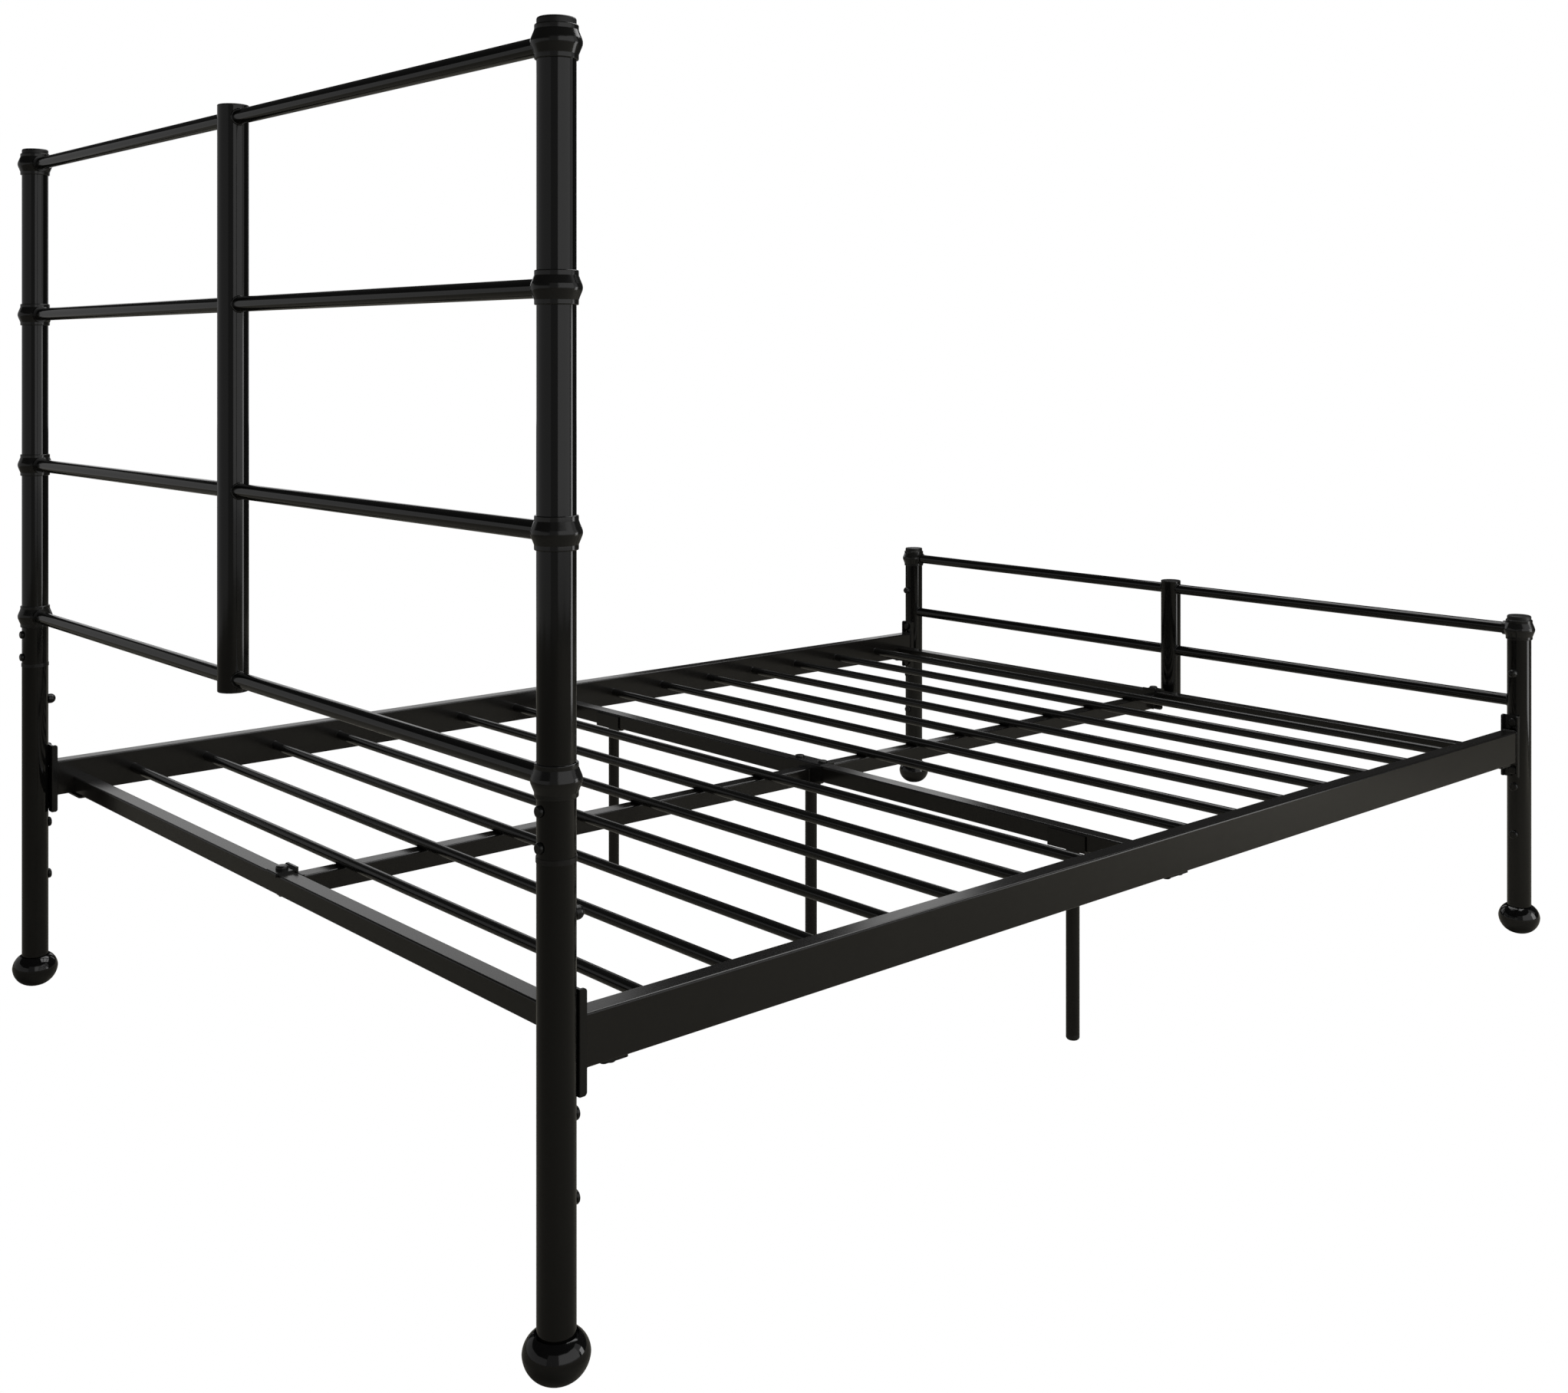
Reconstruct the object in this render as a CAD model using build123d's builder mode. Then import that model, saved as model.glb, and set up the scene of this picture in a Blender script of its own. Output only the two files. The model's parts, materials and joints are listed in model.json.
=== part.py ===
import os

from build123d import *

# ---------------------------------------------------------------------------
# Full-size metal bed frame.
# Millimetres, +Z up. The origin lies on the floor in the middle of the four
# corner posts, +X runs across the width and +Y runs towards the headboard.
# "left" is the -X side and "right" the +X side.
# ---------------------------------------------------------------------------

# Overall layout
post_spacing_x = 1410.0
post_spacing_y = 1945.0
half_x = post_spacing_x / 2
half_y = post_spacing_y / 2
deck_centre_y = -4.0

# Tube sizes
post_r = 19.0
post_wall = 1.5
rail_r = 9.5
rail_wall = 1.2
side_rail_w = 25.0
side_rail_h = 52.5
box_w = 25.0
box_wall = 1.5
box_corner_r = 2.5
slat_r = 7.0
slat_wall = 1.0
leg_r = 9.5
leg_wall = 1.2

# Headboard heights
head_rail_z = (1261.5, 1030.3, 799.3, 566.5)
head_post_top = 1277.0
head_centre_bottom = 552.0
head_centre_top = 1276.0
joint_ring_z = 489.5
joint_ring_h = 5.0
joint_ring_r = post_r + 0.7

# Sleeves inside the head posts
sleeve_r = post_r - post_wall
sleeve_wall = 2.0
sleeve_z0 = joint_ring_z - 60.0
sleeve_z1 = joint_ring_z + 72.0

# Footboard heights
foot_rail_z = (508.0, 387.0)
foot_post_top = 523.5
foot_centre_bottom = 287.0
foot_centre_top = 522.0
foot_centre_hole_z = 339.0
foot_centre_hole_r = 2.5

# Ball connector casting
ball_h = 33.0
ball_band_h = 5.0
ball_band_r = 21.1
ball_r = 25.0
# Radius and half height of the belt where the two flares meet in an arc
ball_belt_r = 24.3
ball_belt_h = 3.5
ball_boss_r = 11.6
ball_boss_reach = 26.5
ball_bore_depth = 20.5
ball_edge_r = 1.2

# Caps
cap_h = 8.0
cap_edge_r = 2.5
cap_plug_h = 14.0
centre_cap_h = 2.0
centre_cap_edge_r = 1.2

# Ball feet
foot_ball_r = 32.7
foot_ball_centre_z = 26.0
foot_ball_top_z = 44.5
foot_ball_flat_r = 12.0
foot_ball_edge_r = 2.0
# Radius and height of the ball below and above its widest ring
foot_ball_low_r = 25.1
foot_ball_low_z = 8.0
foot_ball_high_r = 28.5
foot_ball_high_z = 38.0
foot_socket_z = 26.0
foot_socket_r = 21.5
foot_socket_lip_z = 41.5
leg_plug_h = 24.0

# Side rails and their hook brackets
side_rail_bottom = 288.2
side_rail_outset = 8.7
bracket_gap = 8.7
bracket_w = 29.0
bracket_t = 3.0
bracket_z0 = 263.5
bracket_z1 = 366.0
bracket_front_r = 3.5
bracket_back_r = 1.5
rail_end_y = half_y - post_r - bracket_gap
side_rail_x = half_x + side_rail_outset - side_rail_w / 2
rail_inner_x = side_rail_x - side_rail_w / 2

# Pins and bolts on the corner posts
hook_pin_z = (354.5, 275.0)
spare_pin_z = (246.0, 166.0)
high_pin_z = 436.2
pin_shank_r = 4.0
pin_head_r = 7.3
pin_head_h = 4.7
high_pin_head_h = 11.5
pin_depth = 8.0
joint_bolt_z = (539.0, 504.5)
joint_bolt_r = 3.0
joint_bolt_head_r = 5.8
joint_bolt_head_h = 3.6
joint_bolt_len = 8.0
keyhole_slot = 17.0
keyhole_r = 8.0

# Cross rails, centre rail and slats
cross_bottom = side_rail_bottom
cross_top = cross_bottom + box_w
cross_offset = 911.5
cross_half = rail_inner_x
slat_z = 312.8
slat_first = 113.6
slat_pitch = 119.3
slats_per_half = 7
centre_rail_top = slat_z - slat_r
centre_rail_bottom = centre_rail_top - box_w

# Bolted flanges under the cross rail ends
flange_t = 2.5
flange_reach = 34.0
flange_edge_gap = 2.0
flange_corner_r = 4.0
flange_inner_x = rail_inner_x - flange_reach
flange_outer_x = half_x + side_rail_outset - flange_edge_gap
end_flange_half_y = 16.0
mid_flange_half_y = 22.0
flange_bolt_r = 3.0
flange_bolt_head_r = 6.0
flange_bolt_head_h = 4.0
flange_bolt_len = 12.0
flange_bolt_step = 13.0

# Straps that hook the centre rail over the cross rails
strap_t = 3.0
strap_web_w = 62.0
strap_tab_w = 28.0
strap_lip_h = 2.0
# The tab lies on the cross rail and climbs to a low crest above its web
strap_crest = 6.0
strap_ramp_y = 8.2
strap_ramp_inset = 1.0
strap_crest_depth = 4.5
strap_corner_r = 5.0
strap_bend_r = 2.5
mid_strap_w = 76.0
mid_strap_corner_r = 9.0
mid_strap_bolt_x = 27.0
mid_strap_bolt_len = 14.0
mid_strap_bolt_head_h = 3.4
strap_bolt_r = 4.0
strap_bolt_head_r = 8.0
strap_bolt_head_h = 5.0
strap_nut_r = 6.5
strap_nut_h = 4.0
strap_bolt_past_nut = 2.0

# Middle legs
leg_x = 535.0
leg_bottom = 20.0
leg_cap_h = 8.0
leg_cap_plug_h = 14.0
leg_cap_edge_r = 4.0
saddle_t = 2.5
saddle_half_x = 33.0
saddle_side_h = 21.0
saddle_bolt_x = 22.0
saddle_bolt_r = 3.0
saddle_bolt_head_r = 5.8
saddle_bolt_head_h = 3.6
saddle_bolt_len = 12.0

# Tie between the foot centre post and the foot cross rail
tie_w = 30.0
tie_t = 3.0
tie_z0 = 290.0
tie_z1 = 306.0

# Share of a bolt head that its domed edge takes up
dome_share = 0.6

corners = (
    ("head_left", -1, 1),
    ("head_right", 1, 1),
    ("foot_left", -1, -1),
    ("foot_right", 1, -1),
)
sides = (("left", -1), ("right", 1))

os.makedirs("parts", exist_ok=True)


def save(part, name):
    part.label = name
    export_step(part, "parts/" + name + ".step")


def upright_tube(x, y, z0, z1, radius, wall):
    with BuildPart() as tube:
        with BuildSketch(Plane.XY.offset(z0)):
            with Locations((x, y)):
                Circle(radius)
                Circle(radius - wall, mode=Mode.SUBTRACT)
        extrude(amount=z1 - z0)
    return tube.part


def radial_hole(x, y, z, radius, direction):
    # A horizontal drilling through one wall of a post, along +Y or -Y.
    length = post_r + 1.0
    middle = y + direction * length / 2
    with Locations(Location((x, middle, z), (90, 0, 0))):
        Cylinder(radius, length, mode=Mode.SUBTRACT)


def domed_bolt(seat, out, shank_r, shank_len, head_r, head_h):
    # seat is the point under the head; out is the direction its head faces.
    seat_plane = Plane(origin=seat, x_dir=(1, 0, 0), z_dir=out)
    with BuildPart() as bolt:
        with BuildSketch(seat_plane):
            Circle(head_r)
        extrude(amount=head_h)
        top = bolt.faces().sort_by(Axis(seat, out))[-1]
        fillet(top.edges(), head_h * dome_share)
        with BuildSketch(seat_plane):
            Circle(shank_r)
        extrude(amount=-shank_len)
    return bolt.part


def group(solids, name):
    with BuildPart() as bundle:
        for solid in solids:
            add(solid)
    save(bundle.part, name)


# ---------------------------------------------------------------------------
# Corner posts
# ---------------------------------------------------------------------------
def corner_post(x, y, z0, z1, rail_side):
    with BuildPart() as post:
        add(upright_tube(x, y, z0, z1, post_r, post_wall))
        for z in hook_pin_z + spare_pin_z + (high_pin_z,):
            if z0 < z < z1:
                radial_hole(x, y, z, pin_shank_r, rail_side)
        for z in joint_bolt_z:
            if z0 < z < z1 and y > 0:
                radial_hole(x, y, z, joint_bolt_r, 1)
    return post.part


for side, sx in sides:
    upper = corner_post(sx * half_x, half_y, joint_ring_z + joint_ring_h, head_post_top, -1)
    save(upper, "head_post_" + side)
    lower = corner_post(sx * half_x, half_y, foot_socket_z, joint_ring_z, -1)
    save(lower, "head_leg_" + side)
    foot_post = corner_post(sx * half_x, -half_y, foot_socket_z, foot_post_top, 1)
    save(foot_post, "foot_post_" + side)

# Sleeves inside the head posts, with a shoulder ring that shows at the joint.
sleeves = []
for side, sx in sides:
    with BuildPart() as sleeve:
        add(upright_tube(sx * half_x, half_y, sleeve_z0, sleeve_z1, sleeve_r, sleeve_wall))
        add(upright_tube(sx * half_x, half_y, joint_ring_z, joint_ring_z + joint_ring_h,
                         joint_ring_r, joint_ring_r - sleeve_r + sleeve_wall))
        for z in joint_bolt_z:
            radial_hole(sx * half_x, half_y, z, joint_bolt_r, 1)
        radial_hole(sx * half_x, half_y, high_pin_z, pin_shank_r, -1)
    sleeves.append(sleeve.part)
group(sleeves, "post_sleeves")

# Centre posts of the headboard and the footboard
save(upright_tube(0, half_y, head_centre_bottom, head_centre_top, post_r, post_wall), "head_centre_post")
with BuildPart() as foot_centre_post:
    add(upright_tube(0, -half_y, foot_centre_bottom, foot_centre_top, post_r, post_wall))
    radial_hole(0, -half_y, (tie_z0 + tie_z1) / 2, joint_bolt_r, 1)
    radial_hole(0, -half_y, foot_centre_hole_z, foot_centre_hole_r, 1)
save(foot_centre_post.part, "foot_centre_post")


# ---------------------------------------------------------------------------
# Round cross tubes of the headboard and the footboard, in halves
# ---------------------------------------------------------------------------
def half_rail(sx, y, z, outer_x):
    with BuildPart() as rail:
        with BuildSketch(Plane.YZ):
            with Locations((y, z)):
                Circle(rail_r)
                Circle(rail_r - rail_wall, mode=Mode.SUBTRACT)
        extrude(amount=sx * outer_x)
        with Locations((0, y, z)):
            Cylinder(post_r, 4 * rail_r, mode=Mode.SUBTRACT)
        if outer_x > half_x - post_r - 1:
            with Locations((sx * half_x, y, z)):
                Cylinder(post_r, 4 * rail_r, mode=Mode.SUBTRACT)
    return rail.part


ball_rail_end = half_x - ball_bore_depth
for number, z in enumerate(head_rail_z, start=1):
    for side, sx in sides:
        save(half_rail(sx, half_y, z, ball_rail_end), "head_rail_" + str(number) + "_" + side)
for side, sx in sides:
    save(half_rail(sx, -half_y, foot_rail_z[0], ball_rail_end), "foot_rail_1_" + side)
    save(half_rail(sx, -half_y, foot_rail_z[1], half_x - post_r / 2), "foot_rail_2_" + side)


# ---------------------------------------------------------------------------
# Ball connector castings on the corner posts
# ---------------------------------------------------------------------------
def ball_connector(sx, y, z):
    half = ball_h / 2
    belly = half - ball_band_h
    x = sx * half_x
    with BuildPart() as ball:
        with BuildSketch(Plane.XZ.offset(-y)):
            with BuildLine():
                Polyline((x, z + half), (x + ball_band_r, z + half), (x + ball_band_r, z + belly),
                         (x + ball_belt_r, z + ball_belt_h))
                ThreePointArc((x + ball_belt_r, z + ball_belt_h), (x + ball_r, z),
                              (x + ball_belt_r, z - ball_belt_h))
                Polyline((x + ball_belt_r, z - ball_belt_h), (x + ball_band_r, z - belly),
                         (x + ball_band_r, z - half), (x, z - half))
                Line((x, z - half), (x, z + half))
            make_face()
        revolve(axis=Axis((x, y, z), (0, 0, 1)))
        rims = ball.edges().filter_by(GeomType.CIRCLE).filter_by(
            lambda edge: abs(abs(edge.center().Z - z) - half) < 0.01)
        fillet(rims, ball_edge_r)
        inward = Plane(origin=(x, y, z), x_dir=(0, 1, 0), z_dir=(-sx, 0, 0))
        with BuildSketch(inward):
            Circle(ball_boss_r)
        extrude(amount=ball_boss_reach)
        with BuildSketch(inward.offset(ball_bore_depth)):
            Circle(rail_r)
        extrude(amount=ball_boss_reach, mode=Mode.SUBTRACT)
        with Locations((x, y, z)):
            Cylinder(post_r, 2 * ball_h, mode=Mode.SUBTRACT)
    return ball.part


for side, sx in sides:
    group([ball_connector(sx, half_y, z) for z in head_rail_z], "head_ball_connectors_" + side)
group([ball_connector(sx, -half_y, foot_rail_z[0]) for side, sx in sides], "foot_ball_connectors")


# ---------------------------------------------------------------------------
# Plug caps on the corner posts and the centre posts
# ---------------------------------------------------------------------------
def plug_cap(x, y, z, height, edge_r, upwards):
    direction = 1 if upwards else -1
    with BuildPart() as cap:
        with BuildSketch(Plane.XY.offset(z)):
            with Locations((x, y)):
                Circle(post_r)
        extrude(amount=direction * height)
        outer = cap.faces().sort_by(Axis.Z)[-1 if upwards else 0]
        fillet(outer.edges(), edge_r)
        with BuildSketch(Plane.XY.offset(z)):
            with Locations((x, y)):
                Circle(post_r - post_wall)
        extrude(amount=-direction * cap_plug_h)
    return cap.part


caps = []
for name, sx, sy in corners:
    top = head_post_top if sy > 0 else foot_post_top
    caps.append(plug_cap(sx * half_x, sy * half_y, top, cap_h, cap_edge_r, True))
group(caps, "post_caps")
centre_caps = [
    plug_cap(0, half_y, head_centre_top, centre_cap_h, centre_cap_edge_r, True),
    plug_cap(0, half_y, head_centre_bottom, centre_cap_h, centre_cap_edge_r, False),
    plug_cap(0, -half_y, foot_centre_top, centre_cap_h, centre_cap_edge_r, True),
]
group(centre_caps, "centre_post_caps")

# ---------------------------------------------------------------------------
# Ball feet, each with a socket for its post
# ---------------------------------------------------------------------------
for name, sx, sy in corners:
    x = sx * half_x
    y = sy * half_y
    with BuildPart() as foot:
        with BuildSketch(Plane.XZ.offset(-y)):
            with BuildLine():
                Line((x, 0), (x + foot_ball_flat_r, 0))
                ThreePointArc((x + foot_ball_flat_r, 0), (x + foot_ball_low_r, foot_ball_low_z),
                              (x + foot_ball_r, foot_ball_centre_z))
                ThreePointArc((x + foot_ball_r, foot_ball_centre_z), (x + foot_ball_high_r, foot_ball_high_z),
                              (x + foot_socket_r, foot_ball_top_z))
                Polyline((x + foot_socket_r, foot_ball_top_z), (x + foot_socket_r, foot_socket_lip_z),
                         (x + post_r, foot_socket_lip_z), (x + post_r, foot_socket_z),
                         (x, foot_socket_z), (x, 0))
            make_face()
        revolve(axis=Axis((x, y, 0), (0, 0, 1)))
        flat_edges = foot.edges().filter_by(GeomType.CIRCLE).group_by(Axis.Z)[0]
        fillet(flat_edges, foot_ball_edge_r)
        with BuildSketch(Plane.XY.offset(foot_socket_z)):
            with Locations((x, y)):
                Circle(post_r - post_wall)
        extrude(amount=leg_plug_h)
    save(foot.part, "ball_foot_" + name)


# ---------------------------------------------------------------------------
# Box-section rails
# ---------------------------------------------------------------------------
def box_tube(plane, width, height, length):
    with BuildPart() as tube:
        with BuildSketch(plane):
            RectangleRounded(width, height, box_corner_r)
            RectangleRounded(width - 2 * box_wall, height - 2 * box_wall,
                             box_corner_r - box_wall, mode=Mode.SUBTRACT)
        extrude(amount=length)
    return tube.part


side_rail_mid_z = side_rail_bottom + side_rail_h / 2
for side, sx in sides:
    start = Plane(origin=(sx * side_rail_x, -rail_end_y, side_rail_mid_z),
                  x_dir=(1, 0, 0), z_dir=(0, 1, 0))
    with BuildPart() as side_rail:
        add(box_tube(start, side_rail_w, side_rail_h, 2 * rail_end_y))
        for cross_y in (-cross_offset, cross_offset):
            with Locations((sx * side_rail_x, deck_centre_y + cross_y, side_rail_bottom)):
                Cylinder(flange_bolt_r, 4 * box_wall, mode=Mode.SUBTRACT)
        for step in (-flange_bolt_step, flange_bolt_step):
            with Locations((sx * side_rail_x, deck_centre_y + step, side_rail_bottom)):
                Cylinder(flange_bolt_r, 4 * box_wall, mode=Mode.SUBTRACT)
    save(side_rail.part, "side_rail_" + side)

# Hook brackets: a channel with keyholes that hang on two headed pins.
for name, sx, sy in corners:
    wall_y = half_y - post_r
    with BuildPart() as bracket:
        with BuildSketch(Plane.XY.offset(bracket_z0)):
            with Locations((sx * side_rail_x, sy * (wall_y - bracket_gap / 2))):
                Rectangle(bracket_w, bracket_gap)
            with Locations((sx * side_rail_x, sy * (wall_y - bracket_t - bracket_gap / 2))):
                Rectangle(bracket_w - 2 * bracket_t, bracket_gap, mode=Mode.SUBTRACT)
        extrude(amount=bracket_z1 - bracket_z0)
        corner_edges = bracket.edges().filter_by(Axis.X).filter_by(
            lambda edge: abs(edge.center().Y - sy * (wall_y - bracket_gap)) < 0.01)
        fillet(corner_edges, bracket_front_r)
        upright_edges = bracket.edges().filter_by(Axis.Z).filter_by(
            lambda edge: abs(edge.center().Y - sy * wall_y) < 0.01)
        fillet(upright_edges, bracket_back_r)
        for z in hook_pin_z:
            web = Plane(origin=(sx * half_x, sy * (wall_y - bracket_t / 2), z),
                        x_dir=(1, 0, 0), z_dir=(0, -1, 0))
            with BuildSketch(web):
                Circle(pin_shank_r)
                with Locations((0, -keyhole_slot / 2)):
                    Rectangle(2 * pin_shank_r, keyhole_slot)
                with Locations((0, -keyhole_slot)):
                    Circle(keyhole_r)
            extrude(amount=bracket_t, both=True, mode=Mode.SUBTRACT)
    save(bracket.part, "rail_bracket_" + name)

# Headed pins on the rail side of every corner post: the brackets hang on two,
# two more wait lower down for another deck height.
hook_pins = []
high_pins = []
for name, sx, sy in corners:
    x = sx * half_x
    face_y = sy * (half_y - post_r)
    hook_y = sy * (half_y - post_r - bracket_t)
    for z in hook_pin_z:
        hook_pins.append(domed_bolt((x, hook_y, z), (0, -sy, 0), pin_shank_r,
                                    bracket_t + pin_depth, pin_head_r, pin_head_h))
    for z in spare_pin_z:
        hook_pins.append(domed_bolt((x, face_y, z), (0, -sy, 0), pin_shank_r,
                                    pin_depth, pin_head_r, pin_head_h))
    high_pins.append(domed_bolt((x, face_y, high_pin_z), (0, -sy, 0), pin_shank_r,
                                pin_depth, pin_head_r, high_pin_head_h))
group(hook_pins, "hook_pins")
group(high_pins, "high_pins")

# Bolts at the joint of each head post, and the one in the foot post tie
tie_y0 = -half_y + post_r
tie_z = (tie_z0 + tie_z1) / 2
tie_seat = (0, tie_y0 + tie_t, tie_z)
joint_bolts = [domed_bolt(tie_seat, (0, 1, 0), joint_bolt_r, tie_t + joint_bolt_len,
                          joint_bolt_head_r, joint_bolt_head_h)]
for side, sx in sides:
    for z in joint_bolt_z:
        joint_bolts.append(domed_bolt((sx * half_x, half_y + post_r, z), (0, 1, 0), joint_bolt_r,
                                      joint_bolt_len, joint_bolt_head_r, joint_bolt_head_h))
group(joint_bolts, "joint_bolts")


# ---------------------------------------------------------------------------
# Cross rails with their bolted flanges
# ---------------------------------------------------------------------------
def cross_rail(y, bottom_holes, top_holes):
    # Each hole is an X place and a radius, drilled through one wall.
    start = Plane(origin=(-cross_half, y, cross_bottom + box_w / 2), x_dir=(0, 1, 0), z_dir=(1, 0, 0))
    with BuildPart() as rail:
        add(box_tube(start, box_w, box_w, 2 * cross_half))
        for wall_z, holes in ((cross_bottom, bottom_holes), (cross_top, top_holes)):
            for hole_x, radius in holes:
                with Locations((hole_x, y, wall_z)):
                    Cylinder(radius, 4 * box_wall, mode=Mode.SUBTRACT)
    return rail.part


leg_places = (("left", -leg_x), ("centre", 0.0), ("right", leg_x))
saddle_holes = []
for name, x in leg_places:
    for step in (-saddle_bolt_x, saddle_bolt_x):
        saddle_holes.append((x + step, saddle_bolt_r))
end_strap_holes = ((0.0, strap_bolt_r),)
mid_strap_holes = ((-mid_strap_bolt_x, strap_bolt_r), (mid_strap_bolt_x, strap_bolt_r))

head_cross_y = deck_centre_y + cross_offset
mid_cross_y = deck_centre_y
foot_cross_y = deck_centre_y - cross_offset
save(cross_rail(head_cross_y, end_strap_holes, end_strap_holes), "head_cross_rail")
save(cross_rail(mid_cross_y, saddle_holes, mid_strap_holes), "mid_cross_rail")
save(cross_rail(foot_cross_y, end_strap_holes, end_strap_holes), "foot_cross_rail")

flanges = []
flange_bolts = []
flange_rows = (
    (head_cross_y, end_flange_half_y, (0.0,)),
    (mid_cross_y, mid_flange_half_y, (-flange_bolt_step, flange_bolt_step)),
    (foot_cross_y, end_flange_half_y, (0.0,)),
)
for cross_y, half_width, steps in flange_rows:
    for side, sx in sides:
        with BuildPart() as flange:
            with BuildSketch(Plane.XY.offset(cross_bottom - flange_t)):
                with Locations((sx * (flange_inner_x + flange_outer_x) / 2, cross_y)):
                    RectangleRounded(flange_outer_x - flange_inner_x, 2 * half_width, flange_corner_r)
            extrude(amount=flange_t)
            for step in steps:
                with Locations((sx * side_rail_x, cross_y + step, cross_bottom)):
                    Cylinder(flange_bolt_r, 4 * flange_t, mode=Mode.SUBTRACT)
        flanges.append(flange.part)
        for step in steps:
            seat = (sx * side_rail_x, cross_y + step, cross_bottom - flange_t)
            flange_bolts.append(domed_bolt(seat, (0, 0, -1), flange_bolt_r, flange_bolt_len,
                                           flange_bolt_head_r, flange_bolt_head_h))
group(flanges, "cross_rail_flanges")
group(flange_bolts, "flange_bolts")

# ---------------------------------------------------------------------------
# Centre rail in two halves, hooked over the cross rails by bent straps
# ---------------------------------------------------------------------------
mid_web_y = box_w / 2 + strap_t
end_web_y = cross_offset - box_w / 2 - strap_t
centre_rail_z = (centre_rail_bottom + centre_rail_top) / 2
for name, sy in (("head", 1), ("foot", -1)):
    start = Plane(origin=(0, deck_centre_y + sy * mid_web_y, centre_rail_z),
                  x_dir=(1, 0, 0), z_dir=(0, sy, 0))
    save(box_tube(start, box_w, box_w, end_web_y - mid_web_y), "centre_rail_" + name)

strap_bolts = []
strap_nuts = []
for name, sy in (("head", 1), ("foot", -1)):
    cross_y = deck_centre_y + sy * cross_offset
    web_y = deck_centre_y + sy * (end_web_y + strap_t / 2)
    web_h = cross_top - centre_rail_bottom
    seat_z = cross_top + strap_t
    half_box = box_w / 2
    with BuildPart() as strap:
        with Locations((0, web_y, centre_rail_bottom + web_h / 2)):
            Box(strap_web_w, strap_t, web_h)
        lower_corners = strap.edges().filter_by(Axis.Y).group_by(Axis.Z)[0]
        fillet(lower_corners, strap_corner_r)
        with BuildSketch(Plane(origin=(0, cross_y, cross_top), x_dir=(0, sy, 0), z_dir=(sy, 0, 0))):
            Polygon((half_box, -strap_lip_h), (half_box + strap_t, -strap_lip_h),
                    (half_box + strap_t, strap_t), (-strap_ramp_y, strap_t),
                    (-half_box, strap_crest), (-half_box - strap_t, strap_crest),
                    (-half_box - strap_t, -strap_t), (-half_box, -strap_t),
                    (-half_box, strap_crest - strap_crest_depth),
                    (-strap_ramp_y - strap_ramp_inset, 0), (half_box, 0), align=None)
        extrude(amount=strap_tab_w / 2, both=True)
        top_bend = strap.edges().filter_by(Axis.X).filter_by(
            lambda edge: abs(edge.center().Z - seat_z) < 0.01 and abs(edge.center().Y - cross_y) > half_box)
        fillet(top_bend, strap_bend_r)
        with Locations((0, cross_y, cross_top)):
            Cylinder(strap_bolt_r, 3 * strap_t, mode=Mode.SUBTRACT)
    save(strap.part, "centre_strap_" + name)
    bolt_len = seat_z - cross_bottom + strap_nut_h + strap_bolt_past_nut
    strap_bolts.append(domed_bolt((0, cross_y, seat_z), (0, 0, 1), strap_bolt_r,
                                  bolt_len, strap_bolt_head_r, strap_bolt_head_h))
    with BuildPart() as nut:
        with BuildSketch(Plane.XY.offset(cross_bottom - strap_nut_h)):
            with Locations((0, cross_y)):
                RegularPolygon(strap_nut_r, 6)
                Circle(strap_bolt_r, mode=Mode.SUBTRACT)
        extrude(amount=strap_nut_h)
    strap_nuts.append(nut.part)

# Saddle strap over the middle cross rail
mid_web_h = cross_top - centre_rail_bottom
with BuildPart() as mid_strap:
    with Locations((0, mid_cross_y, cross_top + strap_t / 2)):
        Box(mid_strap_w, box_w + 2 * strap_t, strap_t)
    for sy in (-1, 1):
        with Locations((0, mid_cross_y + sy * (box_w + strap_t) / 2, cross_top - mid_web_h / 2)):
            Box(mid_strap_w, strap_t, mid_web_h)
    lower_corners = mid_strap.edges().filter_by(Axis.Y).group_by(Axis.Z)[0]
    fillet(lower_corners, mid_strap_corner_r)
    top_bends = mid_strap.edges().filter_by(Axis.X).group_by(Axis.Z)[-1]
    fillet(top_bends, strap_bend_r)
    for bolt_x in (-mid_strap_bolt_x, mid_strap_bolt_x):
        with Locations((bolt_x, mid_cross_y, cross_top)):
            Cylinder(strap_bolt_r, 4 * strap_t, mode=Mode.SUBTRACT)
save(mid_strap.part, "centre_strap_mid")
for bolt_x in (-mid_strap_bolt_x, mid_strap_bolt_x):
    strap_bolts.append(domed_bolt((bolt_x, mid_cross_y, cross_top + strap_t), (0, 0, 1), strap_bolt_r,
                                  mid_strap_bolt_len, strap_bolt_head_r, mid_strap_bolt_head_h))
group(strap_bolts, "strap_bolts")
group(strap_nuts, "strap_nuts")

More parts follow.
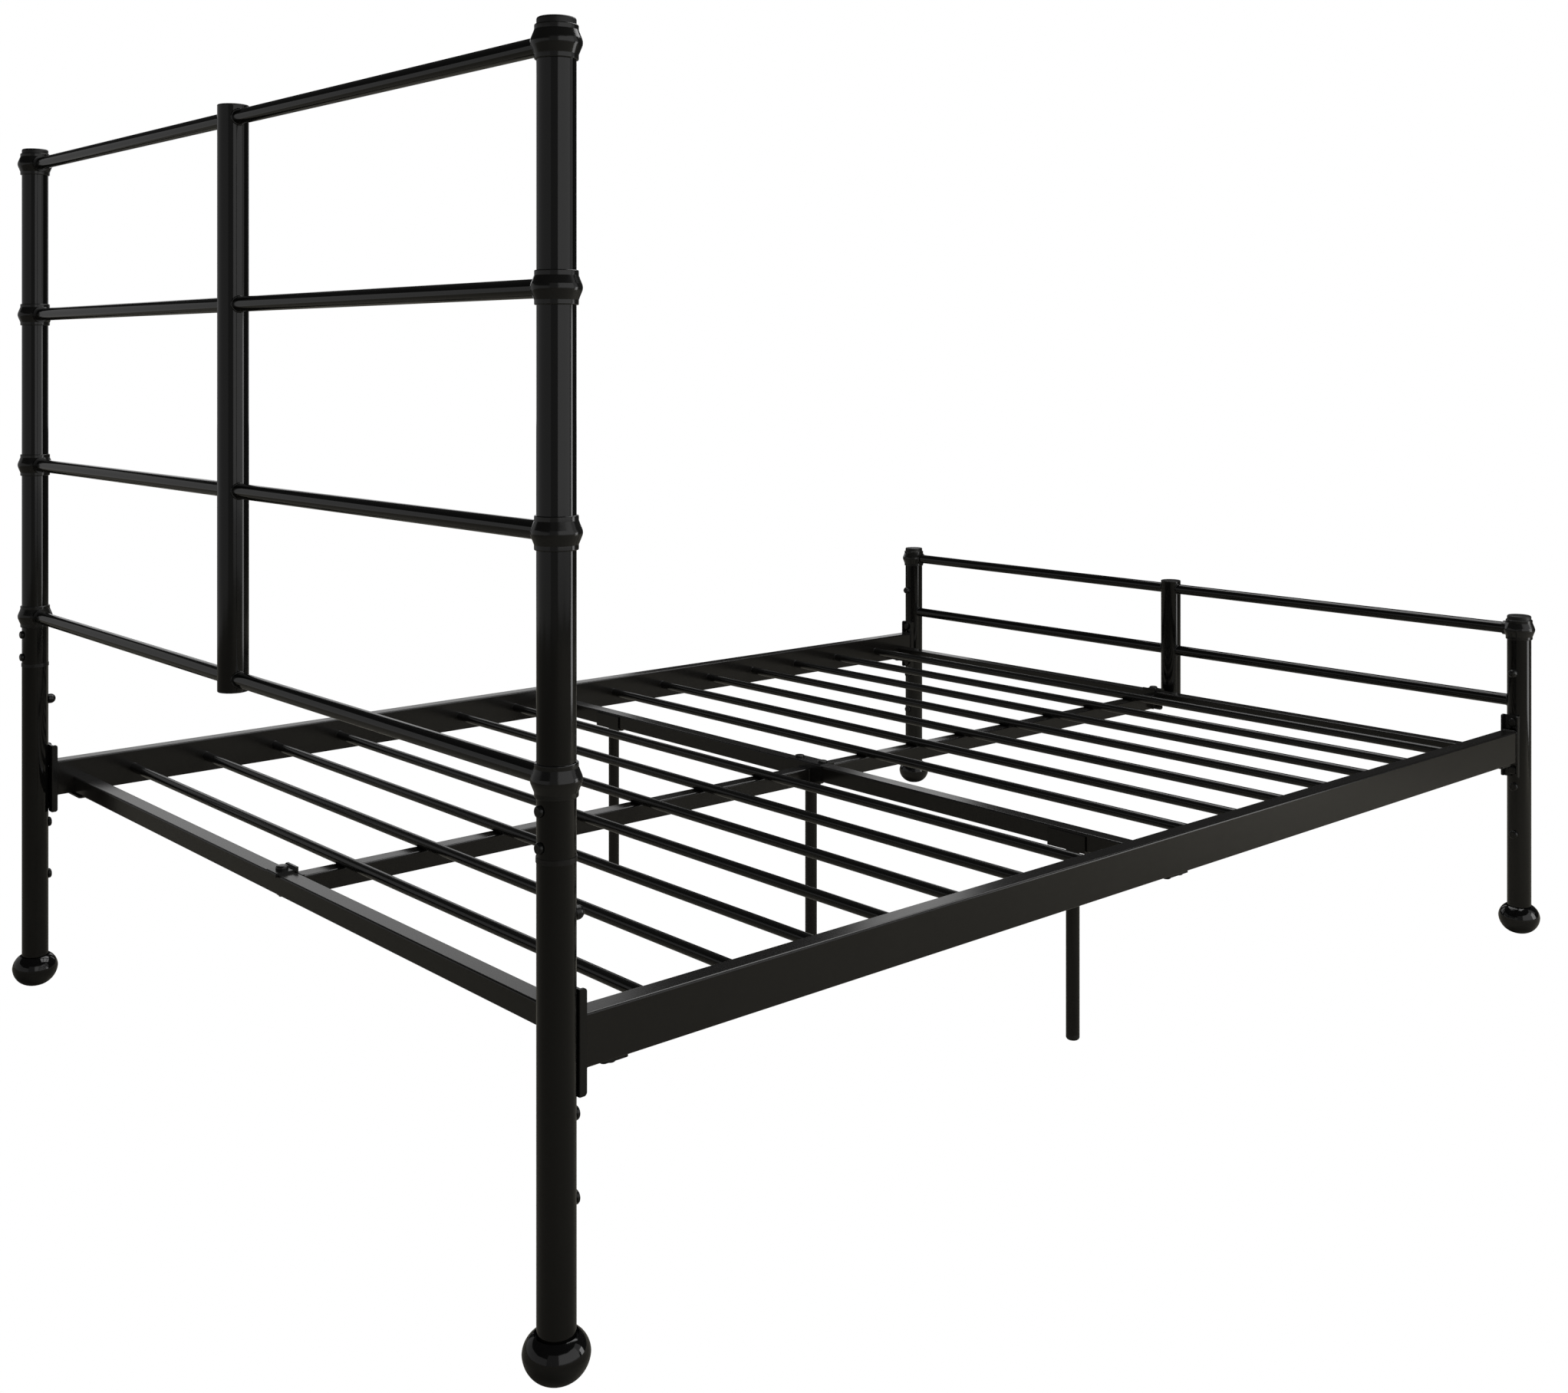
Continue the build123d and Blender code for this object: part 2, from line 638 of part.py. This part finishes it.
# ---------------------------------------------------------------------------
# Middle legs: a tube welded to a saddle that wraps the middle cross rail
# ---------------------------------------------------------------------------
leg_caps = []
saddle_bolts = []
for name, x in leg_places:
    saddle_top = cross_bottom + saddle_side_h
    plate_z = cross_bottom - saddle_t
    # The centre leg's plate fits between the webs of the middle strap.
    plate_w = box_w if x == 0.0 else box_w + 2 * saddle_t
    with BuildPart() as leg:
        with Locations((x, mid_cross_y, plate_z + saddle_t / 2)):
            Box(2 * saddle_half_x, plate_w, saddle_t)
        if x != 0.0:
            for sy in (-1, 1):
                wall_y = mid_cross_y + sy * (box_w + saddle_t) / 2
                with Locations((x, wall_y, (plate_z + saddle_top) / 2)):
                    Box(2 * saddle_half_x, saddle_t, saddle_top - plate_z)
        for step in (-saddle_bolt_x, saddle_bolt_x):
            with Locations((x + step, mid_cross_y, plate_z)):
                Cylinder(saddle_bolt_r, 4 * saddle_t, mode=Mode.SUBTRACT)
        add(upright_tube(x, mid_cross_y, leg_bottom + leg_cap_h, plate_z, leg_r, leg_wall))
    save(leg.part, "mid_leg_" + name)
    for step in (-saddle_bolt_x, saddle_bolt_x):
        saddle_bolts.append(domed_bolt((x + step, mid_cross_y, plate_z), (0, 0, -1), saddle_bolt_r,
                                       saddle_bolt_len, saddle_bolt_head_r, saddle_bolt_head_h))
    with BuildPart() as leg_cap:
        with BuildSketch(Plane.XY.offset(leg_bottom)):
            with Locations((x, mid_cross_y)):
                Circle(leg_r)
        extrude(amount=leg_cap_h)
        fillet(leg_cap.faces().sort_by(Axis.Z)[0].edges(), leg_cap_edge_r)
        with BuildSketch(Plane.XY.offset(leg_bottom + leg_cap_h)):
            with Locations((x, mid_cross_y)):
                Circle(leg_r - leg_wall)
        extrude(amount=leg_cap_plug_h)
    leg_caps.append(leg_cap.part)
group(leg_caps, "mid_leg_caps")
group(saddle_bolts, "saddle_bolts")

# ---------------------------------------------------------------------------
# Slats: round tubes between the side rails, lying on the centre rail
# ---------------------------------------------------------------------------
for name, sy in (("head", 1), ("foot", -1)):
    with BuildPart() as slats:
        for index in range(slats_per_half):
            y = deck_centre_y + sy * (slat_first + index * slat_pitch)
            with BuildSketch(Plane.YZ.offset(-rail_inner_x)):
                with Locations((y, slat_z)):
                    Circle(slat_r)
                    Circle(slat_r - slat_wall, mode=Mode.SUBTRACT)
            extrude(amount=2 * rail_inner_x)
    save(slats.part, "slats_" + name)

# ---------------------------------------------------------------------------
# Tie that bolts the foot centre post to the foot cross rail
# ---------------------------------------------------------------------------
tie_y1 = foot_cross_y - box_w / 2
with BuildPart() as tie:
    with BuildSketch(Plane.XY.offset(tie_z0)):
        with Locations((0, (tie_y0 + tie_y1) / 2)):
            Rectangle(tie_w, tie_y1 - tie_y0)
        with Locations((0, (tie_y0 + tie_y1) / 2 - tie_t)):
            Rectangle(tie_w - 2 * tie_t, tie_y1 - tie_y0, mode=Mode.SUBTRACT)
        with Locations((0, tie_y0 + tie_t / 2)):
            Rectangle(tie_w, tie_t)
    extrude(amount=tie_z1 - tie_z0)
    with Locations(Location((0, tie_y0, tie_z), (90, 0, 0))):
        Cylinder(joint_bolt_r, 4 * tie_t, mode=Mode.SUBTRACT)
save(tie.part, "foot_post_tie")
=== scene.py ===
import json
import math

import bmesh
import bpy
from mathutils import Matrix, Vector


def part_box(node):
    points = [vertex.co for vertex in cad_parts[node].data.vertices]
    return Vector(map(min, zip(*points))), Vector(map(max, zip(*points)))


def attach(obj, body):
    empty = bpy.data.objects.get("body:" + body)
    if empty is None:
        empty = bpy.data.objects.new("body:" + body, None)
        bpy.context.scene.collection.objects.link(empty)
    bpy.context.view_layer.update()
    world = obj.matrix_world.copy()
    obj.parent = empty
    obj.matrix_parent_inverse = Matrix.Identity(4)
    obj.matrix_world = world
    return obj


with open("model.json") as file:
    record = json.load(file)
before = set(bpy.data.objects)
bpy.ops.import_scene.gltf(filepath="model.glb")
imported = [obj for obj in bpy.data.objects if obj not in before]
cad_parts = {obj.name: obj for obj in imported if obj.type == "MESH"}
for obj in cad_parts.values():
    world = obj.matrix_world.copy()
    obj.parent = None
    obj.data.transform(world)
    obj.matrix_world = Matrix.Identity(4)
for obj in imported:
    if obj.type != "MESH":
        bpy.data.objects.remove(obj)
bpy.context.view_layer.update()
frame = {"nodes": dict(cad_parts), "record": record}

# ---------------------------------------------------------------------------
# Metal bed frame: finish, welds, moulding lines, studio and camera.
# Metres, +Z up, +Y towards the headboard, origin on the floor between the posts.
# ---------------------------------------------------------------------------
MM = 0.001

# Welds and moulding lines
WELD_R = 1.4 * MM
WELD_RIPPLE = 0.16
WELD_STEP = 1.6 * MM
SLAT_WELD_R = 0.9 * MM
BOX_CORNER_CUT = 1.5 * MM
SEAM_R = 0.18 * MM
SEAM_STEP = 2.0 * MM
BEAD_SIDES = 8

# Counts and places on the frame that its nodes' boxes do not give
HEAD_RAILS = 4
FOOT_RAILS = 2
SLATS_PER_HALF = 7
SADDLE_UNDERSIDE_Z = 285.7 * MM
BALL_WIDEST_Z = 26.0 * MM
LEG_R = 9.5 * MM

# Camera
CAMERA_AT = (-2.085, 1.918, 0.964)
CAMERA_YAW = math.radians(48.21)
LENS = 40.37
SENSOR = 36.0
SHIFT_Y = -0.216

# Studio
WHITE = "#ffffff"
FLOOR_SIZE = 14.0
FLOOR_LIT = "#bab6aa"
SWEEP_SEEN = 1.0
ROOM_LIGHT = 0.03
# Panels round the near head post: name, first and last direction in degrees, low and high edge,
# radiance
POST_PANELS = (
    ("left_wall", -140.0, -25.0, -0.2, 2.2, 0.27),
    ("back_wall", -25.0, 14.0, -0.2, 4.2, 0.13),
    ("broad_panel", 15.0, 90.0, 0.35, 4.2, 0.78),
    ("broad_base", 15.0, 90.0, 0.05, 0.35, 0.40),
    ("upper_panel", 90.0, 112.0, 1.15, 4.2, 0.42),
)
# How far those panels stand from the post, and about how wide an angle one flat piece covers
PANEL_DISTANCE = 4.5
PANEL_TURN = 40.0
# A low bright box, given as metres right of and ahead of the camera and above the floor
LOW_BOX_AT = (2.62, 2.40, 0.58)
LOW_BOX_AIM = (-0.705, 0.705)
LOW_BOX_SIZE = (0.77, 1.04)
LOW_BOX_RADIANCE = 2.6
# Panels beyond the bed: name, left and right direction from straight ahead in degrees, radiance
FAR_PANELS = (
    ("far_broad_panel", -27.0, -5.0, 0.70),
    ("far_strip_panel", 2.5, 6.0, 0.9),
)
FAR_DISTANCE = 7.0
FAR_LOW_Z = 0.7
FAR_HIGH_Z = 2.6
# The box overhead
OVERHEAD_AT = (0.3, -1.4, 3.4)
OVERHEAD_AIM = (0.0, -0.2, 0.3)
OVERHEAD_SIZE = (3.2, 2.6)
OVERHEAD_RADIANCE = 2.2


# ---------------------------------------------------------------------------
# Materials
# ---------------------------------------------------------------------------
def linear(hex_colour):
    """sRGB hex to the linear colour that a shader takes."""
    out = []
    for start in (1, 3, 5):
        value = int(hex_colour[start:start + 2], 16) / 255
        out.append(value / 12.92 if value <= 0.04045 else ((value + 0.055) / 1.055) ** 2.4)
    return (*out, 1.0)


def add_node(tree, kind, settings=(), inputs=(), links=()):
    """One node with its settings, input values and (socket, from node, from socket) links."""
    node = tree.nodes.new(kind)
    for name, value in dict(settings).items():
        setattr(node, name, value)
    for name, value in dict(inputs).items():
        node.inputs[name].default_value = value
    for socket, source, output in links:
        tree.links.new(source.outputs[output], node.inputs[socket])
    return node


def new_material(name):
    material = bpy.data.materials.new(name)
    material.use_nodes = True
    tree = material.node_tree
    tree.nodes.clear()
    place = add_node(tree, "ShaderNodeTexCoord")
    return material, tree, place


def coloured_finish(name, dark, light, roughness, rough_spread, bump_mm, grain_mm, cloud_mm, shader_values):
    """A surface whose colour and gloss drift slowly over it and whose fine grain dents it.

    grain_mm is the width of one dimple and cloud_mm the width of one patch of colour."""
    material, tree, place = new_material(name)
    clouds = add_node(tree, "ShaderNodeTexNoise", inputs={"Scale": 1000.0 / cloud_mm, "Detail": 3.0},
                      links=[("Vector", place, "Object")])
    tint = add_node(tree, "ShaderNodeMix", settings={"data_type": "RGBA"},
                    links=[(0, clouds, "Fac")])
    tint.inputs[6].default_value = linear(dark)
    tint.inputs[7].default_value = linear(light)
    grain = add_node(tree, "ShaderNodeTexNoise", inputs={"Scale": 1000.0 / grain_mm, "Detail": 2.0},
                     links=[("Vector", place, "Object")])
    gloss = add_node(tree, "ShaderNodeMapRange",
                     inputs={"To Min": roughness - rough_spread, "To Max": roughness + rough_spread},
                     links=[("Value", clouds, "Fac")])
    bump = add_node(tree, "ShaderNodeBump", inputs={"Strength": 1.0, "Distance": bump_mm * MM},
                    links=[("Height", grain, "Fac")])
    shader = add_node(tree, "ShaderNodeBsdfPrincipled", inputs=shader_values,
                      links=[("Base Color", tint, 2), ("Roughness", gloss, "Result"),
                             ("Normal", bump, "Normal")])
    add_node(tree, "ShaderNodeOutputMaterial", links=[("Surface", shader, "BSDF")])
    return material


def powder_coated_steel(name, dark, light, roughness):
    # Powder coat: melted resin over steel. It flows out almost flat, so lamps show as soft-edged
    # stripes, with a faint orange peel about 3 mm wide.
    return coloured_finish(name, dark, light, roughness, 0.02, 0.003, 3.0, 90.0,
                           {"IOR": 1.5, "Metallic": 0.0})


def painted_casting():
    # Die-cast zinc under the same coat: slightly rounder grain than the drawn tube.
    return coloured_finish("painted_zinc_casting", "#1b1b1a", "#222221", 0.16, 0.03, 0.005, 1.8, 40.0,
                           {"IOR": 1.5})


def moulded_polyethylene():
    # Moulded caps: fine spark-eroded texture, so highlights are broad and dim.
    return coloured_finish("moulded_polyethylene", "#151515", "#1c1c1c", 0.42, 0.05, 0.02, 0.7, 30.0,
                           {"IOR": 1.5})


def polished_abs():
    # Ball feet from a polished mould: near mirror, with small sharp reflections.
    return coloured_finish("polished_abs", "#0c0c0c", "#111111", 0.09, 0.02, 0.003, 3.0, 30.0,
                           {"IOR": 1.54})


def black_oxide_steel():
    # Fastener heads: oiled black oxide, brighter than the paint where it catches a lamp.
    return coloured_finish("black_oxide_steel", "#202020", "#2c2c2b", 0.24, 0.05, 0.01, 0.9, 12.0,
                           {"IOR": 1.5, "Metallic": 0.35})


FINISHES = {
    "frame_steel": powder_coated_steel("powder_coated_round_tube", "#0c0c0b", "#121211", 0.09),
    "deck_steel": powder_coated_steel("powder_coated_box_tube", "#1b1a19", "#22211f", 0.19),
    "slat_steel": powder_coated_steel("powder_coated_thin_tube", "#181817", "#1e1e1d", 0.18),
    "bracket_steel": powder_coated_steel("powder_coated_sheet", "#171717", "#1d1d1c", 0.22),
    "sleeve_steel": powder_coated_steel("painted_sleeve", "#151515", "#1a1a1a", 0.3),
    "cast_connectors": painted_casting(),
    "plastic_caps": moulded_polyethylene(),
    "ball_feet": polished_abs(),
    "black_fasteners": black_oxide_steel(),
}
slot_of_node = {row["node"]: row["material_slot"] for row in frame["record"]["subparts"]}
for node_name, node in frame["nodes"].items():
    node.data.materials.clear()
    node.data.materials.append(FINISHES[slot_of_node[node_name]])


# ---------------------------------------------------------------------------
# Camera
# ---------------------------------------------------------------------------
def make_camera():
    data = bpy.data.cameras.new("camera")
    data.sensor_width = SENSOR
    data.lens = LENS
    data.shift_y = SHIFT_Y
    camera = bpy.data.objects.new("camera", data)
    bpy.context.scene.collection.objects.link(camera)
    forward = Vector((math.sin(CAMERA_YAW), -math.cos(CAMERA_YAW), 0.0))
    camera.location = CAMERA_AT
    camera.rotation_mode = "QUATERNION"
    camera.rotation_quaternion = forward.to_track_quat("-Z", "Y")
    bpy.context.scene.camera = camera


# ---------------------------------------------------------------------------
# Added pieces: welds and moulding lines
# ---------------------------------------------------------------------------
def add_piece(name, mesh, slot):
    """A finished mesh becomes a smooth-shaded piece of the bed frame, in the finish of its slot."""
    bmesh.ops.recalc_face_normals(mesh, faces=mesh.faces)
    data = bpy.data.meshes.new(name)
    mesh.to_mesh(data)
    mesh.free()
    for face in data.polygons:
        face.use_smooth = True
    data.materials.append(FINISHES[slot])
    piece = bpy.data.objects.new(name, data)
    bpy.context.scene.collection.objects.link(piece)
    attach(piece, "root")


def sweep_loop(mesh, points, outward, radius, ripple):
    """A round bead along a closed loop; outward gives each point's direction away from the joint."""
    count = len(points)
    rings = []
    for index, point in enumerate(points):
        along = (points[(index + 1) % count] - points[index - 1]).normalized()
        side = (outward[index] - outward[index].dot(along) * along).normalized()
        up = along.cross(side)
        size = radius * (1 + ripple * math.cos(math.pi * index))
        ring = []
        for corner in range(BEAD_SIDES):
            turn = math.tau * corner / BEAD_SIDES
            ring.append(mesh.verts.new(point + size * (math.cos(turn) * side + math.sin(turn) * up)))
        rings.append(ring)
    for index in range(count):
        here, there = rings[index], rings[(index + 1) % count]
        for corner in range(BEAD_SIDES):
            after = (corner + 1) % BEAD_SIDES
            mesh.faces.new((here[corner], here[after], there[after], there[corner]))


def even_count(length, step):
    """How many points a bead needs: an even number, so that its ripple closes on itself."""
    return 2 * max(6, round(length / step / 2))


def ring_loop(centre, axis, radius, step):
    """Points and outward directions round a circle."""
    axis = Vector(axis)
    side = axis.orthogonal().normalized()
    up = axis.cross(side)
    count = even_count(math.tau * radius, step)
    outward = []
    for index in range(count):
        turn = math.tau * index / count
        outward.append(math.cos(turn) * side + math.sin(turn) * up)
    return [Vector(centre) + radius * way for way in outward], outward


def saddle_loop(centre, direction, tube_r, post_r):
    """The line where a tube that runs along X meets the side of an upright post."""
    count = even_count(math.tau * tube_r, WELD_STEP)
    points, outward = [], []
    for index in range(count):
        turn = math.tau * index / count
        y, z = tube_r * math.cos(turn), tube_r * math.sin(turn)
        points.append(Vector(centre) + Vector((direction * math.sqrt(post_r ** 2 - y ** 2), y, z)))
        outward.append(Vector((0, math.cos(turn), math.sin(turn))))
    return points, outward


def box_loop(low, high, y):
    """Round the end of a box tube that runs along Y, with its corners cut by one step."""
    x0, z0 = low
    x1, z1 = high
    cut = BOX_CORNER_CUT
    corners = [(x0 + cut, z0), (x1 - cut, z0), (x1, z0 + cut), (x1, z1 - cut),
               (x1 - cut, z1), (x0 + cut, z1), (x0, z1 - cut), (x0, z0 + cut)]
    points, outward = [], []
    middle = Vector(((x0 + x1) / 2, y, (z0 + z1) / 2))
    for index, (ax, az) in enumerate(corners):
        bx, bz = corners[(index + 1) % len(corners)]
        steps = even_count(math.hypot(bx - ax, bz - az), WELD_STEP) if index % 2 == 0 else 2
        for step in range(steps):
            share = step / steps
            point = Vector((ax + share * (bx - ax), y, az + share * (bz - az)))
            points.append(point)
            outward.append((point - middle).normalized())
    return points, outward


def beads(name, loops, slot, radius=WELD_R, ripple=WELD_RIPPLE):
    """One piece made of a round bead along each loop."""
    mesh = bmesh.new()
    for points, outward in loops:
        sweep_loop(mesh, points, outward, radius, ripple)
    add_piece(name, mesh, slot)


def span(node_name):
    """Lowest and highest corners of a CAD node."""
    low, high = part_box(node_name)
    return Vector(low), Vector(high)


def weld_rail_joints():
    head_low, head_high = span("head_centre_post")
    foot_low, foot_high = span("foot_centre_post")
    centre_y = {"head": (head_low.y + head_high.y) / 2, "foot": (foot_low.y + foot_high.y) / 2}
    post_r = (head_high.x - head_low.x) / 2
    loops = []
    # Every rail half meets its centre post.
    for end, rails in (("head", HEAD_RAILS), ("foot", FOOT_RAILS)):
        for number in range(1, rails + 1):
            low, high = span(end + "_rail_" + str(number) + "_left")
            centre = Vector((0, centre_y[end], (low.z + high.z) / 2))
            for direction in (-1, 1):
                loops.append(saddle_loop(centre, direction, (high.z - low.z) / 2, post_r))
    # The lower foot rail has no cast connector and meets the corner posts directly.
    low, high = span("foot_rail_2_left")
    for post, direction in (("foot_post_left", 1), ("foot_post_right", -1)):
        post_low, post_high = span(post)
        centre = Vector(((post_low.x + post_high.x) / 2, centre_y["foot"], (low.z + high.z) / 2))
        loops.append(saddle_loop(centre, direction, (high.z - low.z) / 2, post_r))
    beads("weld_rail_joints", loops, "frame_steel")


def weld_box_ends():
    loops = []
    for name in ("side_rail_left", "side_rail_right", "centre_rail_head", "centre_rail_foot"):
        low, high = span(name)
        for y in (low.y, high.y):
            loops.append(box_loop((low.x, low.z), (high.x, high.z), y))
    beads("weld_box_ends", loops, "deck_steel")


def weld_slat_ends():
    loops = []
    inner = span("side_rail_left")[1].x
    for half in ("head", "foot"):
        low, high = span("slats_" + half)
        slat_r = (high.z - low.z) / 2
        pitch = (high.y - low.y - 2 * slat_r) / (SLATS_PER_HALF - 1)
        for index in range(SLATS_PER_HALF):
            y = low.y + slat_r + index * pitch
            for x in (inner, -inner):
                loops.append(ring_loop((x, y, (low.z + high.z) / 2), (1, 0, 0), slat_r, WELD_STEP))
    beads("weld_slat_ends", loops, "slat_steel", radius=SLAT_WELD_R)


def weld_leg_tops():
    loops = []
    for name in ("left", "centre", "right"):
        low, high = span("mid_leg_" + name)
        middle = (low + high) / 2
        top = (middle.x, middle.y, SADDLE_UNDERSIDE_Z)
        loops.append(ring_loop(top, (0, 0, 1), LEG_R, WELD_STEP))
    beads("weld_leg_tops", loops, "deck_steel")


def make_moulding_lines():
    # Each ball foot carries a hair-thin raised line where the two halves of its mould met.
    loops = []
    for name in ("head_left", "head_right", "foot_left", "foot_right"):
        low, high = span("ball_foot_" + name)
        middle = (low + high) / 2
        widest = (middle.x, middle.y, BALL_WIDEST_Z)
        loops.append(ring_loop(widest, (0, 0, 1), (high.x - low.x) / 2 - SEAM_R, SEAM_STEP))
    beads("moulding_line_ball_feet", loops, "ball_feet", radius=SEAM_R, ripple=0.0)


# ---------------------------------------------------------------------------
# Studio
# ---------------------------------------------------------------------------
def aim(thing, target):
    thing.rotation_mode = "QUATERNION"
    thing.rotation_quaternion = (Vector(target) - thing.location).to_track_quat("-Z", "Y")


def softbox(name, place, target, width, height, radiance):
    """A rectangular soft light of a given surface brightness, whatever its size."""
    data = bpy.data.lights.new(name, "AREA")
    data.shape = "RECTANGLE"
    data.size = width
    data.size_y = height
    data.energy = radiance * width * height * math.pi
    lamp = bpy.data.objects.new(name, data)
    bpy.context.scene.collection.objects.link(lamp)
    lamp.location = place
    aim(lamp, target)
    lamp.visible_camera = False


def seen_or_lit(tree, seen_shader, lit_shader, output_kind):
    """White to look at, while the light that it gives back to the paint is dim."""
    ray = add_node(tree, "ShaderNodeLightPath")
    pick = add_node(tree, "ShaderNodeMixShader", links=[(0, ray, "Is Camera Ray")])
    tree.links.new(lit_shader.outputs[0], pick.inputs[1])
    tree.links.new(seen_shader.outputs[0], pick.inputs[2])
    add_node(tree, output_kind, links=[("Surface", pick, "Shader")])


def make_world():
    # Plain display colours, so that the white sweep shows as white and thin tubes keep their width.
    bpy.context.scene.view_settings.view_transform = "Standard"
    world = bpy.data.worlds.new("studio")
    bpy.context.scene.world = world
    world.use_nodes = True
    tree = world.node_tree
    tree.nodes.clear()
    seen = add_node(tree, "ShaderNodeBackground", inputs={"Color": linear(WHITE), "Strength": SWEEP_SEEN})
    lit = add_node(tree, "ShaderNodeBackground", inputs={"Color": linear(WHITE), "Strength": ROOM_LIGHT})
    seen_or_lit(tree, seen, lit, "ShaderNodeOutputWorld")


def make_floor():
    mesh = bmesh.new()
    bmesh.ops.create_grid(mesh, x_segments=1, y_segments=1, size=FLOOR_SIZE / 2)
    data = bpy.data.meshes.new("floor")
    mesh.to_mesh(data)
    mesh.free()
    material, tree, place = new_material("matt_white_sweep")
    seen = add_node(tree, "ShaderNodeEmission", inputs={"Color": linear(WHITE), "Strength": SWEEP_SEEN})
    lit = add_node(tree, "ShaderNodeBsdfDiffuse", inputs={"Color": linear(FLOOR_LIT)})
    seen_or_lit(tree, seen, lit, "ShaderNodeOutputMaterial")
    data.materials.append(material)
    floor = bpy.data.objects.new("floor", data)
    bpy.context.scene.collection.objects.link(floor)


def camera_axes():
    """Level directions from the scene back to the camera and to its right."""
    back = Vector((-math.sin(CAMERA_YAW), math.cos(CAMERA_YAW), 0))
    right = Vector((-math.cos(CAMERA_YAW), -math.sin(CAMERA_YAW), 0))
    return back, right


def turned(degrees_right, distance, height):
    """A place seen from the near head post: 0 is straight back at the camera, 90 to its right."""
    back, right = camera_axes()
    turn = math.radians(degrees_right)
    low, high = span("head_post_left")
    near_post = (low + high) / 2
    near_post.z = height
    return near_post + distance * (math.cos(turn) * back + math.sin(turn) * right), near_post


def ahead(degrees_right, distance, height):
    """A place beyond the bed as the camera faces it: 0 is straight ahead, positive to the right."""
    turn = CAMERA_YAW - math.radians(degrees_right)
    way = Vector((math.sin(turn), -math.cos(turn), 0))
    place = Vector(CAMERA_AT) + distance * way
    place.z = height
    return place


def make_lights():
    # Walls and panels of different brightness draw the bands that run up every post.
    for name, first, last, low, high, radiance in POST_PANELS:
        pieces = max(1, round((last - first) / PANEL_TURN))
        turn = (last - first) / pieces
        width = 2 * PANEL_DISTANCE * math.tan(math.radians(turn / 2))
        for piece in range(pieces):
            place, target = turned(first + turn * (piece + 0.5), PANEL_DISTANCE, (low + high) / 2)
            softbox(name, place, target, width, high - low, radiance)
    # A low box gives the lower half of the posts their thin bright line.
    back, right = camera_axes()
    place = Vector(CAMERA_AT) + LOW_BOX_AT[0] * right - LOW_BOX_AT[1] * back
    place.z = LOW_BOX_AT[2]
    softbox("low_box", place, (*LOW_BOX_AIM, place.z), *LOW_BOX_SIZE, LOW_BOX_RADIANCE)
    # Panels beyond the bed, low over the floor: the flat tops of the rails mirror them.
    for name, left, right, radiance in FAR_PANELS:
        middle_z = (FAR_LOW_Z + FAR_HIGH_Z) / 2
        place = ahead((left + right) / 2, FAR_DISTANCE, middle_z)
        width = 2 * FAR_DISTANCE * math.tan(math.radians((right - left) / 2))
        target = Vector(CAMERA_AT)
        target.z = middle_z
        softbox(name, place, target, width, FAR_HIGH_Z - FAR_LOW_Z, radiance)
    # An overhead box adds an even base light, which shows on the side rails' faces.
    softbox("overhead", OVERHEAD_AT, OVERHEAD_AIM, *OVERHEAD_SIZE, OVERHEAD_RADIANCE)


weld_rail_joints()
weld_box_ends()
weld_slat_ends()
weld_leg_tops()
make_moulding_lines()
make_camera()
make_world()
make_floor()
make_lights()
